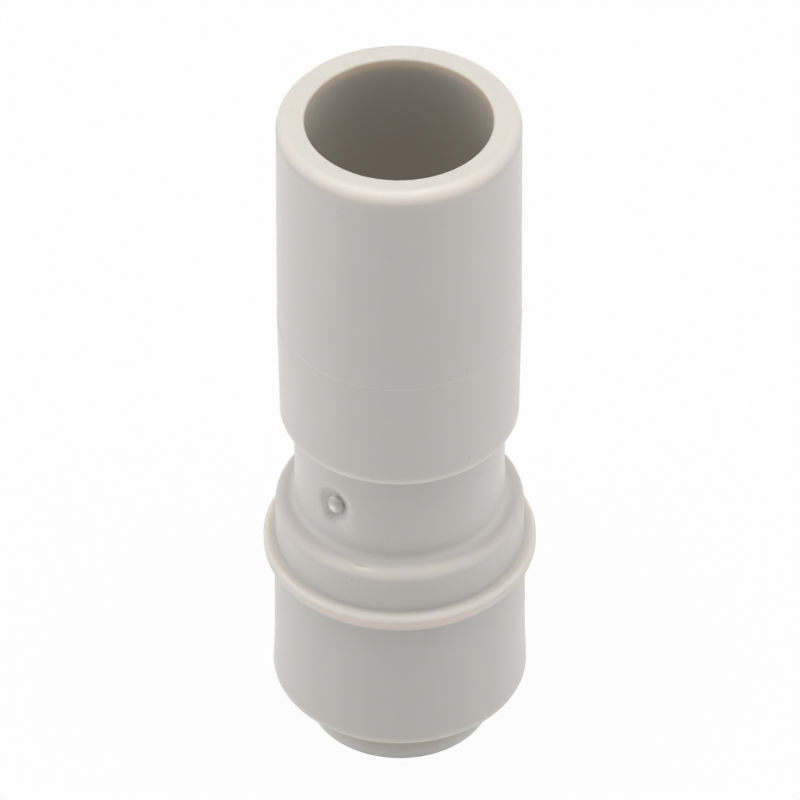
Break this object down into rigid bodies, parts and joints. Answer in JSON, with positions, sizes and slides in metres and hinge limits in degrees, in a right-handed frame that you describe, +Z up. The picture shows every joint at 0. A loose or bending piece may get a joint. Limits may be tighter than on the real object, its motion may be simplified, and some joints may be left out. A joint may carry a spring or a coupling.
{
  "type": "push-in reducer fitting",
  "caption": "Moulded plastic push-in reducer: a large plain stem plugs into a fitting, and a sprung toothed collet grips a smaller tube in its socket.",
  "frame": {"origin": "centre of the release ring's foot, on which the fitting stands", "axes": "+Z up along the fitting's axis from the tube socket to the open end of the stem; -Y faces the picture's viewer, +X to the right"},
  "size_m": [0.0144, 0.0144, 0.0402],
  "materials": {
    "body_acetal": "satin light warm grey acetal, as moulded",
    "collet_acetal": "satin light grey acetal, as moulded",
    "seal_rubber": "smooth black rubber",
    "tooth_steel": "stamped stainless strip with a ground edge"
  },
  "bodies": {
    "fitting": {"body": "body_acetal", "o_ring": "seal_rubber"},
    "collet": {"collet": "collet_acetal", "tooth_1": "tooth_steel", "tooth_2": "tooth_steel", "tooth_3": "tooth_steel", "tooth_4": "tooth_steel", "tooth_5": "tooth_steel", "tooth_6": "tooth_steel"}
  },
  "joints": [
    {"name": "collet_slide", "type": "slide", "parent": "fitting", "child": "collet", "axis": [0, 0, 1], "range_m": [0, 0.0013]}
  ]
}
